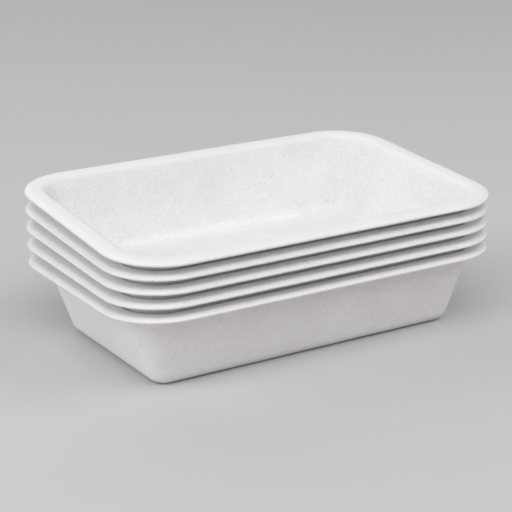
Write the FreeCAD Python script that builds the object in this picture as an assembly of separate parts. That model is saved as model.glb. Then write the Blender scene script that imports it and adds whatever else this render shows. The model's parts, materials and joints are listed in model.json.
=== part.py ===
import FreeCAD, Part
import math
import os

from FreeCAD import Vector

# A stack of equal trays, each pressed from wet fibre in one piece. Each is nested in the one
# below it and leans forward in it a little, so that the rims stand wider apart at the back.
# Millimetres. The stack stands on z = 0, its long side along x, and is centred on the z axis.

# The stack
tray_count = 5
nest_clearance = 0.2        # least gap between the facing walls of two nested trays
lean_step = 1.25            # degrees that each tray leans forward in the one below it

# The tray as a whole
rim_length = 225.0
rim_width = 150.0
tray_height = 43.0          # from the surface it stands on to the top of its rim
sheet = 2.0                 # thickness of the pressed fibre

# The rim: a flat flange whose top falls away to a thin edge
lip_width = 4.0             # from the edge to where the flange is flat
edge_thickness = 0.8
flange_flat = 3.9           # from the lip to the start of the throat bend

# The tub below the rim
wall_draft = 18.5           # degrees that the walls lean out from upright
throat_bend = 4.0           # radius where flange and wall meet, on the inside
base_bend = 6.0             # radius where wall and base meet, on the inside
base_corner = 2.5           # corner radius of the flat part of the base
bend_runs = 3               # straight runs that make up each bend in section

# Worked out from the sizes above
draft = math.radians(wall_draft)
bend_reach = math.tan((math.pi / 2 - draft) / 2)    # from a corner to the end of a bend of radius 1
wall_run = sheet / math.cos(draft)                  # thickness of the wall, measured level
throat = lip_width + flange_flat + throat_bend * bend_reach
base_edge = throat + (tray_height - sheet) * math.tan(draft)
side_reach = base_edge + base_bend * bend_reach

# Lift from one tray to the next, at the middle: enough to keep the gap both at the top of the
# front wall and at the foot of the back wall, where a tray that leans comes nearest
lean = math.radians(lean_step)
wall_top = rim_width / 2 - throat + wall_run        # from the middle to the outside of the walls
wall_foot = wall_top - tray_height * math.tan(draft)
lift_at_front = (sheet + nest_clearance) / math.sin(draft) + lean * wall_top
swing_at_foot = lean * tray_height * math.cos(draft)
lift_at_back = (sheet + nest_clearance + swing_at_foot) / math.sin(draft) - lean * wall_foot
nest_pitch = max(lift_at_front, lift_at_back)


def bend(before, corner, after, radius):
    """Points along a round bend that replaces a corner of the section."""
    back = (before - corner).normalize()
    onward = (after - corner).normalize()
    half_angle = back.getAngle(onward) / 2
    bisector = (back + onward).normalize()
    centre = corner + bisector * (radius / math.sin(half_angle))
    spoke = bisector.negative() * radius
    tangent = (back - onward).normalize() * radius
    turn = math.pi / 2 - half_angle
    angles = [turn * (1 - 2 * step / bend_runs) for step in range(bend_runs + 1)]
    return [centre + spoke * math.cos(angle) + tangent * math.sin(angle) for angle in angles]


def side_section():
    """Closed section of rim, wall and base bend, in the plane x = 0 at the front long side.

    Each point is its distance inward from the rim's edge and its height.
    """
    def at(inward, height):
        return Vector(0, inward - rim_width / 2, height)

    under = tray_height - sheet
    edge_top = at(0, under + edge_thickness)
    lip_end = at(lip_width, tray_height)
    inner_throat = at(throat, tray_height)
    inner_base = at(base_edge, sheet)
    inner_end = at(side_reach, sheet)
    outer_end = at(side_reach, 0)
    outer_base = at(base_edge + sheet * math.tan(draft) - wall_run, 0)
    outer_throat = at(throat + sheet * math.tan(draft) - wall_run, under)
    edge_under = at(0, under)
    points = [edge_top, lip_end]
    points += bend(lip_end, inner_throat, inner_base, throat_bend)
    points += bend(inner_throat, inner_base, inner_end, base_bend)
    points += bend(outer_end, outer_base, outer_throat, base_bend + sheet)
    points += [outer_throat, edge_under, edge_top]
    return Part.makePolygon(points)


def rounded_outline(length, width, radius, height):
    """Closed level wire of a rectangle with round corners, centred on the z axis."""
    x = length / 2
    y = width / 2
    centres = [(x - radius, y - radius), (radius - x, y - radius),
               (radius - x, radius - y), (x - radius, radius - y)]
    arcs = []
    for quarter, (cx, cy) in enumerate(centres):
        angles = [(quarter + share) * math.pi / 2 for share in (0, 0.5, 1)]
        points = [Vector(cx + radius * math.cos(a), cy + radius * math.sin(a), height) for a in angles]
        arcs.append(Part.Arc(*points).toShape())
    edges = []
    for here, after in zip(arcs, arcs[1:] + arcs[:1]):
        straight = Part.LineSegment(here.Vertexes[-1].Point, after.Vertexes[0].Point)
        edges += [here, straight.toShape()]
    return Part.Wire(edges)


def make_side():
    """Rim, wall and base bend in one: the section carried round the rim's outline."""
    path = rounded_outline(rim_length, rim_width, side_reach + base_corner, tray_height)
    sweep = Part.BRepOffsetAPI.MakePipeShell(path)
    sweep.setFrenetMode(True)
    sweep.add(side_section())
    sweep.build()
    sweep.makeSolid()
    return sweep.shape()


def make_base():
    """Flat base inside the bend."""
    outline = rounded_outline(rim_length - 2 * side_reach, rim_width - 2 * side_reach, base_corner, 0)
    return Part.Face(outline).extrude(Vector(0, 0, sheet))


def make_tray():
    return make_side().fuse(make_base()).removeSplitter().Solids[0]


def make_stack():
    """The trays from the bottom up, the stack's outline centred on the z axis."""
    tray = make_tray()
    tilt = FreeCAD.Rotation(Vector(1, 0, 0), lean_step)
    hinge = Vector(0, 0, tray_height)
    step = FreeCAD.Placement(Vector(0, 0, nest_pitch), tilt, hinge)
    place = FreeCAD.Placement()
    trays = []
    for _ in range(tray_count):
        nested = tray.copy()
        nested.Placement = place
        trays.append(nested)
        place = place.multiply(step)
    outline = Part.makeCompound(trays).optimalBoundingBox()
    for nested in trays:
        nested.translate(Vector(0, -outline.Center.y, 0))
    return trays


def main():
    os.makedirs("parts", exist_ok=True)
    for number, tray in enumerate(make_stack(), 1):
        tray.exportStep("parts/tray_%d.step" % number)


main()
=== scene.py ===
import json
import math

import bmesh
import bpy
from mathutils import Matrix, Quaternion, Vector


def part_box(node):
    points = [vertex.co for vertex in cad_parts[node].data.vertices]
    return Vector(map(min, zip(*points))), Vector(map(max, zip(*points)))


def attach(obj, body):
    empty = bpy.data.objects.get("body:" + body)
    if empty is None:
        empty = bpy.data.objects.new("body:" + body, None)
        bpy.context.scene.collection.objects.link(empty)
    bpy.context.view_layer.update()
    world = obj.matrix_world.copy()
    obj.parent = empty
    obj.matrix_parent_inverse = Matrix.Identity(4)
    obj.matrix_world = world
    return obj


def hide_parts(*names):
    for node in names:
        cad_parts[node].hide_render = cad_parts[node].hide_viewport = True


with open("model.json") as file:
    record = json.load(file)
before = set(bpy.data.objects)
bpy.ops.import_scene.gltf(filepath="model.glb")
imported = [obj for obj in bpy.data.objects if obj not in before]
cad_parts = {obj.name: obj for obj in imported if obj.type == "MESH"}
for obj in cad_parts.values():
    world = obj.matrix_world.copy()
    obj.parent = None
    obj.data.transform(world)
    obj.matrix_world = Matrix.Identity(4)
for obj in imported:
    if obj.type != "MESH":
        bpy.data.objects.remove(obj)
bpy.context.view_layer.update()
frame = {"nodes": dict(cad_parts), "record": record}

mm = 0.001

# one tray, in millimetres apart from the draft, the shares and the counts
traySizes = {
    "height": 43.0,          # from the table to the top of the rim
    "sheet": 2.0,            # thickness of the pressed fibre
    "edgeThickness": 1.25,   # the rim thins out towards its edge
    "edgeCrease": 0.8,       # the rim's lower edge is cut crisp, at most 1
    "lipWidth": 4.0,         # how far in from the edge the rim starts to fall away
    "lipDrop": 1.0,          # how far it has fallen at the edge
    "lipCurve": ((0, 1), (0.15, 0.95), (0.32, 0.65), (0.55, 0.2), (1, 0)),  # shares of width and drop
    "flangeFlat": 3.9,       # level part of the rim, from the lip to the throat bend
    "wallDraft": 18.5,       # degrees from upright
    "throatBend": 4.0,       # bend radius between rim and wall
    "baseBend": 6.0,         # bend radius between wall and base
    "baseCorner": 2.5,       # corner radius left on the flat base
    "throatSteps": 5,
    "wallSteps": 8,
    "baseSteps": 6,
    "cornerSegments": 12,
    "longSegments": 21,
    "shortSegments": 12,
    "softLevels": 1,         # subdivision that rounds the finished tray
    "smoothTo": 0.9,         # how far below its top the rim is as smooth as can be
    "smoothEnd": 3.9,        # and where the wall is as rough as the rest
}


def deselectAll():
    if bpy.context.mode != "OBJECT":
        bpy.ops.object.mode_set(mode="OBJECT")
    bpy.ops.object.select_all(action="DESELECT")


def applyModifiers(piece):
    bpy.context.view_layer.objects.active = piece
    for modifier in list(piece.modifiers):
        bpy.ops.object.modifier_apply(modifier=modifier.name)


# points down the upper side of the sheet, from the rim's edge to the base: how far in, how high
def sectionPoints(sizes):
    height, sheet = sizes["height"], sizes["sheet"]
    throatBend, baseBend = sizes["throatBend"], sizes["baseBend"]
    draft = math.radians(sizes["wallDraft"])
    turn = math.pi / 2 - draft
    bendReach = math.tan(turn / 2)              # from a corner to the end of a bend of radius 1
    points = []
    for across, fall in sizes["lipCurve"]:
        points.append((sizes["lipWidth"] * across, height - sizes["lipDrop"] * fall))
    flatEnd = sizes["lipWidth"] + sizes["flangeFlat"]
    points.append((sizes["lipWidth"] + sizes["flangeFlat"] / 2, height))
    for step in range(sizes["throatSteps"] + 1):    # throat bend, its centre below the rim
        angle = turn * step / sizes["throatSteps"]
        points.append((flatEnd + throatBend * math.sin(angle),
                       height - throatBend * (1 - math.cos(angle))))
    throat = flatEnd + throatBend * bendReach
    baseEdge = throat + (height - sheet) * math.tan(draft)
    sideReach = baseEdge + baseBend * bendReach
    wallHead = points[-1]
    wallFoot = (sideReach - baseBend * math.cos(draft), sheet + baseBend * (1 - math.sin(draft)))
    for step in range(1, sizes["wallSteps"] + 1):   # straight wall
        share = step / sizes["wallSteps"]
        points.append((wallHead[0] + (wallFoot[0] - wallHead[0]) * share,
                       wallHead[1] + (wallFoot[1] - wallHead[1]) * share))
    for step in range(1, sizes["baseSteps"] + 1):   # base bend, its centre above the base
        angle = draft + turn * step / sizes["baseSteps"]
        points.append((sideReach - baseBend * math.cos(angle),
                       sheet + baseBend * (1 - math.sin(angle))))
    return points, sideReach


# cuts each edge that runs further than longest along an axis
def subdivideStraight(tray, axis, longest, cuts):
    shape = bmesh.from_edit_mesh(tray.data)
    for edge in shape.edges:
        run = abs(edge.verts[0].co[axis] - edge.verts[1].co[axis])
        edge.select_set(run > longest)
    bmesh.update_edit_mesh(tray.data)
    bpy.ops.mesh.subdivide(number_cuts=cuts)


# one level tray, centred on the z axis, as long and as wide as the frame's lowest one
def makeTrayShape(sizes):
    low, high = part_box("tray_1")
    length, width = high[0] - low[0], high[1] - low[1]
    points, sideReach = sectionPoints(sizes)
    corner = (sideReach + sizes["baseCorner"]) * mm

    deselectAll()
    bpy.ops.mesh.primitive_plane_add(size=1, location=(0, 0, points[0][1] * mm))
    tray = bpy.context.active_object
    tray.name = "trayShape"
    tray.scale = (length, width, 1)
    bpy.ops.object.transform_apply(location=True, rotation=True, scale=True)

    # round the corners, then cut the straight sides so that they can wander a little
    bpy.ops.object.mode_set(mode="EDIT")
    bpy.ops.mesh.select_mode(type="EDGE")
    bpy.ops.mesh.select_all(action="SELECT")
    bpy.ops.mesh.bevel(offset=corner, offset_type="OFFSET", segments=sizes["cornerSegments"],
                       affect="VERTICES")
    bpy.ops.mesh.delete(type="ONLY_FACE")
    subdivideStraight(tray, 0, corner, sizes["longSegments"] - 1)
    subdivideStraight(tray, 1, corner, sizes["shortSegments"] - 1)
    bpy.ops.mesh.select_all(action="SELECT")
    bpy.ops.mesh.edge_face_add()

    # step inwards and down along the section
    bpy.ops.mesh.select_mode(type="FACE")
    bpy.ops.mesh.select_all(action="SELECT")
    for before, after in zip(points, points[1:]):
        bpy.ops.mesh.inset(thickness=(after[0] - before[0]) * mm, use_even_offset=True)
        bpy.ops.transform.translate(value=(0, 0, (after[1] - before[1]) * mm))

    # the base gets a grid in place of its one large face
    bpy.ops.mesh.delete(type="ONLY_FACE")
    bpy.ops.mesh.select_mode(type="VERT")
    shape = bmesh.from_edit_mesh(tray.data)
    baseHeight = points[-1][1] * mm
    sameHeight = 0.01 * mm
    baseVerts = [vert for vert in shape.verts if abs(vert.co.z - baseHeight) < sameHeight]
    for vert in baseVerts:
        vert.select_set(True)
    shape.select_history.clear()
    shape.select_history.add(max(baseVerts, key=lambda vert: vert.co.x + vert.co.y))
    shape.select_flush(True)
    bmesh.update_edit_mesh(tray.data)
    bpy.ops.mesh.fill_grid(span=sizes["longSegments"] + sizes["cornerSegments"], use_interp_simple=True)
    bpy.ops.mesh.select_all(action="SELECT")
    bpy.ops.mesh.normals_make_consistent(inside=False)
    bpy.ops.object.mode_set(mode="OBJECT")
    if min(face.normal.z for face in tray.data.polygons) < 0:
        tray.data.flip_normals()                # the open sheet faces up before it gets its thickness

    # full thickness everywhere but on the lip
    thickness = tray.vertex_groups.new(name="thickness")
    edgeShare = sizes["edgeThickness"] / sizes["sheet"]
    for vertex in tray.data.vertices:
        x, y = abs(vertex.co.x) - length / 2 + corner, abs(vertex.co.y) - width / 2 + corner
        inward = corner - (math.hypot(x, y) if min(x, y) > 0 else max(x, y))
        share = min(inward / (sizes["lipWidth"] * mm), 1)
        thickness.add([vertex.index], edgeShare + (1 - edgeShare) * share, "REPLACE")
    solid = tray.modifiers.new("sheet", "SOLIDIFY")
    solid.thickness = sizes["sheet"] * mm
    solid.vertex_group = "thickness"
    solid.offset = -1                           # the drawn side is the upper one
    solid.use_even_offset = True
    solid.edge_crease_inner = sizes["edgeCrease"]
    applyModifiers(tray)
    tray.vertex_groups.clear()
    print("tray shape made")
    return tray


# how each pressed tray differs a little from the next, in millimetres
wanderSizes = {
    "hollows": 0.08,         # soft hollows and humps from drying
    "hollowWidth": 22.0,
    "ripples": 0.04,         # finer ripple of the sheet
    "rippleWidth": 6.0,
    "spotStep": (0.37, 0.11, 0),    # metres, from one tray's spot in the noise to the next one's
}


def addWander(tray, number, sizes):
    spot = bpy.data.objects.new("wanderSpot", None)
    bpy.context.scene.collection.objects.link(spot)
    spot.location = [step * number for step in sizes["spotStep"]]
    for name, depth, width in (("hollows", sizes["hollows"], sizes["hollowWidth"]),
                               ("ripples", sizes["ripples"], sizes["rippleWidth"])):
        clouds = bpy.data.textures.new(name, "CLOUDS")
        clouds.noise_scale = width * mm
        clouds.noise_depth = 1
        wander = tray.modifiers.new(name, "DISPLACE")
        wander.texture = clouds
        wander.texture_coords = "OBJECT"
        wander.texture_coords_object = spot
        wander.mid_level = 0.5
        wander.strength = depth * mm * 2        # half of it goes each way
    applyModifiers(tray)
    bpy.data.objects.remove(spot)
    for vertex in tray.data.vertices:
        vertex.co.z = max(vertex.co.z, 0)       # the foot stays flat


# the rim is pressed smoother than the rest and carries a painted cool reflection: 1 on the rim, fading
# to 0 just below the throat bend
def markRim(tray, sizes):
    fade = sizes["smoothEnd"] - sizes["smoothTo"]
    rimShare = tray.data.attributes.new("rimShare", "FLOAT", "POINT")
    for vertex in tray.data.vertices:
        below = sizes["height"] - vertex.co.z / mm
        rimShare.data[vertex.index].value = min(max((sizes["smoothEnd"] - below) / fade, 0), 1)


# the lean and the lift from each tray to the next, from the place of the top tray's floor
def leanOfStack(sizes):
    count = len(frame["nodes"])
    floor = next(mount for mount in frame["record"]["mounts"] if mount["name"] == "top_floor")
    axis, place = Vector(floor["axis"]), Vector(floor["pos_m"])
    whole = math.atan2(-axis.y, axis.z)
    step = whole / (count - 1)
    hingeHeight = sizes["height"] * mm
    aboveFloor = (sizes["height"] - sizes["sheet"]) * mm * math.cos(whole)
    rises = sum(math.cos(step * number) for number in range(count - 1))
    pitch = (place.z - hingeHeight + aboveFloor) / rises
    return count, step, pitch


# each tray leans a step further, about the middle of its rim, which is lifted square to the rim below
def makeStack(sizes, material):
    count, leanStep, pitch = leanOfStack(sizes)
    low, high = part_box("tray_1")
    hinge = Vector((0, (low[1] + high[1]) / 2, sizes["height"] * mm))
    shape = makeTrayShape(sizes)
    for number in range(1, count + 1):
        deselectAll()
        shape.select_set(True)
        bpy.context.view_layer.objects.active = shape
        bpy.ops.object.duplicate(linked=False)
        tray = bpy.context.active_object
        tray.name = "pressedTray" + str(number)
        soft = tray.modifiers.new("soft", "SUBSURF")
        soft.levels = sizes["softLevels"]
        soft.render_levels = sizes["softLevels"]
        addWander(tray, number, wanderSizes)
        markRim(tray, sizes)
        lean = leanStep * (number - 1)
        tray.rotation_euler = (lean, 0, 0)
        tray.location = hinge - tray.rotation_euler.to_matrix() @ Vector((0, 0, sizes["height"] * mm))
        bpy.ops.object.transform_apply(location=True, rotation=True, scale=True)
        bpy.ops.object.shade_smooth()
        tray.data.materials.clear()
        tray.data.materials.append(material)
        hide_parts("tray_" + str(number))
        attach(tray, "root")
        hinge = hinge + Vector((0, -math.sin(lean), math.cos(lean))) * pitch
        print("tray", number, "made:", len(tray.data.polygons), "faces")
    bpy.data.objects.remove(shape)


# sRGB hex to the linear values that shaders and lights take
def linear(hexColour):
    channels = [int(hexColour[place:place + 2], 16) / 255 for place in (1, 3, 5)]
    return [c / 12.92 if c <= 0.04045 else ((c + 0.055) / 1.055) ** 2.4 for c in channels] + [1]


# adds one node with its settings and what feeds its inputs
def addNode(tree, kind, settings=None, inputs=None):
    node = tree.nodes.new(kind)
    for name, value in (settings or {}).items():
        setattr(node, name, value)
    for name, value in (inputs or {}).items():
        if isinstance(value, bpy.types.NodeSocket):
            tree.links.new(value, node.inputs[name])
        else:
            node.inputs[name].default_value = value
    return node


# bleached plant pulp, pressed wet on a mesh and dried: a matt felt of short fibres, smoother on the rim
pulpFinish = {
    "pale": "#F7F6F6",
    "shade": "#E3E1E0",
    # the rim's own evener tone, tinted cool as painted reflection of the cool light from above
    "rimEvenToneAndCoolReflection": "#EEEDEF",
    "fibre": "#D9CCBE",
    "speck": "#BFA588",
    "roughness": 0.88,
    "ior": 1.5,              # cellulose
    "cloudWidth": 22.0,      # millimetres, soft patches of denser pulp
    "fibreWidth": 1.3,       # curled fibres, drawn coarser than they are so that they show
    "grainWidth": 0.8,       # the felt between them, drawn coarser too
    "grainRoughness": 0.65,
    "strandWidth": 2.6,      # single long fibres that lie on the surface, in short runs
    "strandLine": 0.06,      # how far off its level line a strand ends, in the noise's own measure
    "creaseWidth": 4.0,      # wandering creases left by the mesh and the drying
    "speckSpacing": 9.0,
    "speckEdge": 0.05,       # shares of that spacing: a speck's radius
    "speckCore": 0.03,       # and that of its full colour
    "fibreCurl": 2.2,        # how far each noise is bent
    "strandCurl": 0.8,
    "creaseCurl": 1.5,
    "cloudShare": 0.25,      # how much each pattern adds on the way from shade to pale
    "fibreShare": 0.45,
    "grainShare": 0.5,
    "strandCover": 0.3,      # how much of its own colour each of these brings
    "rimToneAndReflectionCover": 0.7,
    "speckCover": 0.6,
    "fibreDepth": 0.14,      # relief, in millimetres
    "grainDepth": 0.06,
    "creaseDepth": 0.08,
    "strandHeight": 0.07,
    "rimRelief": 0.5,        # share of the relief that the rim keeps
}

# most of a noise lies between low and high, strands follow its middle, and they fade in while the
# fibres' noise rises from runLow to runHigh
noiseLow, noiseMiddle, noiseHigh = 0.3, 0.5, 0.7
runLow, runHigh = 0.45, 0.6

# a Mix node's colour sockets share their names with others, so they go by number
mixFrom, mixTo, mixResult = 6, 7, 2


def makePulp(finish):
    material = bpy.data.materials.new("bleachedPulp")
    material.use_nodes = True
    tree = material.node_tree
    tree.nodes.clear()
    place = addNode(tree, "ShaderNodeTexCoord").outputs["Object"]
    rim = addNode(tree, "ShaderNodeAttribute", {"attribute_name": "rimShare"}).outputs["Fac"]
    clouds = addNode(tree, "ShaderNodeTexNoise", None,
                     {"Vector": place, "Scale": 1 / (finish["cloudWidth"] * mm),
                      "Detail": 3}).outputs["Fac"]
    fibres = addNode(tree, "ShaderNodeTexNoise", None,
                     {"Vector": place, "Scale": 1 / (finish["fibreWidth"] * mm), "Detail": 2,
                      "Distortion": finish["fibreCurl"]}).outputs["Fac"]
    grain = addNode(tree, "ShaderNodeTexNoise", None,
                    {"Vector": place, "Scale": 1 / (finish["grainWidth"] * mm), "Detail": 3,
                     "Roughness": finish["grainRoughness"]}).outputs["Fac"]
    creases = addNode(tree, "ShaderNodeTexNoise", {"noise_type": "RIDGED_MULTIFRACTAL"},
                      {"Vector": place, "Scale": 1 / (finish["creaseWidth"] * mm), "Detail": 2,
                       "Distortion": finish["creaseCurl"]}).outputs["Fac"]
    specks = addNode(tree, "ShaderNodeTexVoronoi", None,
                     {"Vector": place, "Scale": 1 / (finish["speckSpacing"] * mm)}).outputs["Distance"]

    # strands follow a level line of a soft noise, and the fibres' noise breaks them into short runs
    levels = addNode(tree, "ShaderNodeTexNoise", None,
                     {"Vector": place, "Scale": 1 / (finish["strandWidth"] * mm), "Detail": 1,
                      "Distortion": finish["strandCurl"]}).outputs["Fac"]
    offLine = addNode(tree, "ShaderNodeMath", {"operation": "SUBTRACT"},
                      {0: levels, 1: noiseMiddle}).outputs[0]
    fromLine = addNode(tree, "ShaderNodeMath", {"operation": "ABSOLUTE"}, {0: offLine}).outputs[0]
    lines = addNode(tree, "ShaderNodeMapRange", None,
                    {"Value": fromLine, "From Max": finish["strandLine"], "To Min": 1.0,
                     "To Max": 0.0}).outputs["Result"]
    runs = addNode(tree, "ShaderNodeMapRange", None,
                   {"Value": fibres, "From Min": runLow, "From Max": runHigh}).outputs["Result"]
    strands = addNode(tree, "ShaderNodeMath", {"operation": "MULTIPLY"}, {0: lines, 1: runs}).outputs[0]

    # colour: soft patches, fibres and grain together, evener on the rim and cooler there as painted
    # reflection of cool light, with a rare tan speck
    patches = addNode(tree, "ShaderNodeMapRange", None,
                      {"Value": clouds, "From Min": noiseLow, "From Max": noiseHigh,
                       "To Max": finish["cloudShare"]}).outputs["Result"]
    curls = addNode(tree, "ShaderNodeMapRange", None,
                    {"Value": fibres, "From Min": noiseLow, "From Max": noiseHigh,
                     "To Max": finish["fibreShare"]}).outputs["Result"]
    grains = addNode(tree, "ShaderNodeMapRange", None,
                     {"Value": grain, "From Min": noiseLow, "From Max": noiseHigh,
                      "To Max": finish["grainShare"]}).outputs["Result"]
    fine = addNode(tree, "ShaderNodeMath", {"operation": "ADD"}, {0: curls, 1: grains}).outputs[0]
    paleness = addNode(tree, "ShaderNodeMath", {"operation": "ADD"}, {0: patches, 1: fine}).outputs[0]
    wallColour = addNode(tree, "ShaderNodeMix", {"data_type": "RGBA"},
                         {"Factor": paleness, mixFrom: linear(finish["shade"]),
                          mixTo: linear(finish["pale"])}).outputs[mixResult]
    strandMix = addNode(tree, "ShaderNodeMath", {"operation": "MULTIPLY"},
                        {0: strands, 1: finish["strandCover"]}).outputs[0]
    withStrands = addNode(tree, "ShaderNodeMix", {"data_type": "RGBA"},
                          {"Factor": strandMix, mixFrom: wallColour,
                           mixTo: linear(finish["fibre"])}).outputs[mixResult]
    # painted cool reflection over the rim's even pressed tone
    rimMix = addNode(tree, "ShaderNodeMath", {"operation": "MULTIPLY"},
                     {0: rim, 1: finish["rimToneAndReflectionCover"]}).outputs[0]
    withRim = addNode(tree, "ShaderNodeMix", {"data_type": "RGBA"},
                      {"Factor": rimMix, mixFrom: withStrands,
                       mixTo: linear(finish["rimEvenToneAndCoolReflection"])}).outputs[mixResult]
    dots = addNode(tree, "ShaderNodeMapRange", None,
                   {"Value": specks, "From Min": finish["speckEdge"], "From Max": finish["speckCore"],
                    "To Max": finish["speckCover"]}).outputs["Result"]
    colour = addNode(tree, "ShaderNodeMix", {"data_type": "RGBA"},
                     {"Factor": dots, mixFrom: withRim,
                      mixTo: linear(finish["speck"])}).outputs[mixResult]

    # relief: creases, fibres, grain and strands, pressed flatter on the rim
    relief = addNode(tree, "ShaderNodeMapRange", None,
                     {"Value": rim, "To Min": 1.0, "To Max": finish["rimRelief"]}).outputs["Result"]
    creased = addNode(tree, "ShaderNodeBump", None,
                      {"Strength": relief, "Distance": finish["creaseDepth"] * mm, "Height": creases})
    curled = addNode(tree, "ShaderNodeBump", None,
                     {"Strength": relief, "Distance": finish["fibreDepth"] * mm, "Height": fibres,
                      "Normal": creased.outputs["Normal"]})
    grained = addNode(tree, "ShaderNodeBump", None,
                      {"Strength": relief, "Distance": finish["grainDepth"] * mm, "Height": grain,
                       "Normal": curled.outputs["Normal"]})
    stranded = addNode(tree, "ShaderNodeBump", None,
                       {"Strength": relief, "Distance": finish["strandHeight"] * mm, "Height": strands,
                        "Normal": grained.outputs["Normal"]})
    pulp = addNode(tree, "ShaderNodeBsdfPrincipled", None,
                   {"Base Color": colour, "Roughness": finish["roughness"], "IOR": finish["ior"],
                    "Normal": stranded.outputs["Normal"]})
    addNode(tree, "ShaderNodeOutputMaterial", None, {"Surface": pulp.outputs[0]})
    print("pulp mixed")
    return material


# a pale paper floor, far larger than the view
floorSizes = {
    "side": 14.0,            # metres
    "below": 0.05,           # millimetres under the stack, so that the two faces don't flicker
    "colour": "#CCCBC9",
    "roughness": 0.9,
}


def makeFloor(sizes):
    deselectAll()
    bpy.ops.mesh.primitive_plane_add(size=sizes["side"], location=(0, 0, -sizes["below"] * mm))
    bpy.ops.object.transform_apply(location=True, rotation=True, scale=True)
    floor = bpy.context.active_object
    floor.name = "paleFloor"
    paper = bpy.data.materials.new("palePaper")
    paper.use_nodes = True
    shader = paper.node_tree.nodes["Principled BSDF"]
    shader.inputs["Base Color"].default_value = linear(sizes["colour"])
    shader.inputs["Roughness"].default_value = sizes["roughness"]
    floor.data.materials.append(paper)
    print("floor laid")


# soft studio light: a wide sheet high in front, one at the front right, one at the left, a weak one
# behind for the far floor, and a dim room
lightSizes = {
    "highPower": 50.0,       # watts
    "highSide": 2.6,         # metres
    "highPlace": (-1.1, -1.45, 2.45),
    "rightPower": 31.0,
    "rightSide": 2.2,
    "rightPlace": (1.65, -1.75, 2.0),
    "leftPower": 31.0,
    "leftSide": 2.2,
    "leftPlace": (-2.6, 0.6, 1.15),
    "backPower": 14.0,
    "backSide": 2.2,
    "backPlace": (0.3, 2.6, 1.9),
    "aim": (0, 0, 0.04),     # the middle of the stack
    "lightColour": "#FAFBFF",
    "room": "#FFF9F2",
    "roomStrength": 0.27,
}


def addSoftLight(name, colour, power, side, place, aim):
    light = bpy.data.lights.new(name, "AREA")
    light.color = linear(colour)[:3]
    light.shape = "SQUARE"
    light.size = side
    light.energy = power
    lamp = bpy.data.objects.new(name, light)
    bpy.context.scene.collection.objects.link(lamp)
    lamp.location = place
    lamp.rotation_euler = (Vector(aim) - lamp.location).to_track_quat("-Z", "Y").to_euler()


def lightStudio(sizes):
    for name in ("high", "right", "left", "back"):
        addSoftLight(name + "Sheet", sizes["lightColour"], sizes[name + "Power"], sizes[name + "Side"],
                     sizes[name + "Place"], sizes["aim"])
    room = bpy.data.worlds.new("dimRoom")
    room.use_nodes = True
    background = room.node_tree.nodes["Background"]
    background.inputs["Color"].default_value = linear(sizes["room"])
    background.inputs["Strength"].default_value = sizes["roomStrength"]
    bpy.context.scene.world = room
    bpy.context.scene.view_settings.view_transform = "Standard"
    print("studio lit")


# where the photograph was taken from
cameraSizes = {
    "azimuth": -30.03,       # degrees, to the left of the front
    "elevation": 17.35,
    "roll": -1.55,
    "distance": 0.8269,      # metres
    "aim": (-0.0006, 0.0020, 0.0387),
    "lens": 107.45,          # millimetres, on a sensor of this width
    "sensor": 36.0,
    "clipStart": 0.05,       # metres
}


def placeCamera(sizes):
    azimuth, elevation = math.radians(sizes["azimuth"]), math.radians(sizes["elevation"])
    back = Vector((math.sin(azimuth) * math.cos(elevation),
                   -math.cos(azimuth) * math.cos(elevation),
                   math.sin(elevation)))
    roll = Quaternion((0, 0, 1), math.radians(sizes["roll"]))
    view = bpy.data.cameras.new("photoView")
    view.lens = sizes["lens"]
    view.sensor_width = sizes["sensor"]
    view.clip_start = sizes["clipStart"]
    camera = bpy.data.objects.new("photoView", view)
    bpy.context.scene.collection.objects.link(camera)
    camera.rotation_mode = "QUATERNION"
    camera.location = Vector(sizes["aim"]) + back * sizes["distance"]
    camera.rotation_quaternion = (-back).to_track_quat("-Z", "Y") @ roll
    bpy.context.scene.camera = camera
    print("camera placed")


makeStack(traySizes, makePulp(pulpFinish))
makeFloor(floorSizes)
lightStudio(lightSizes)
placeCamera(cameraSizes)
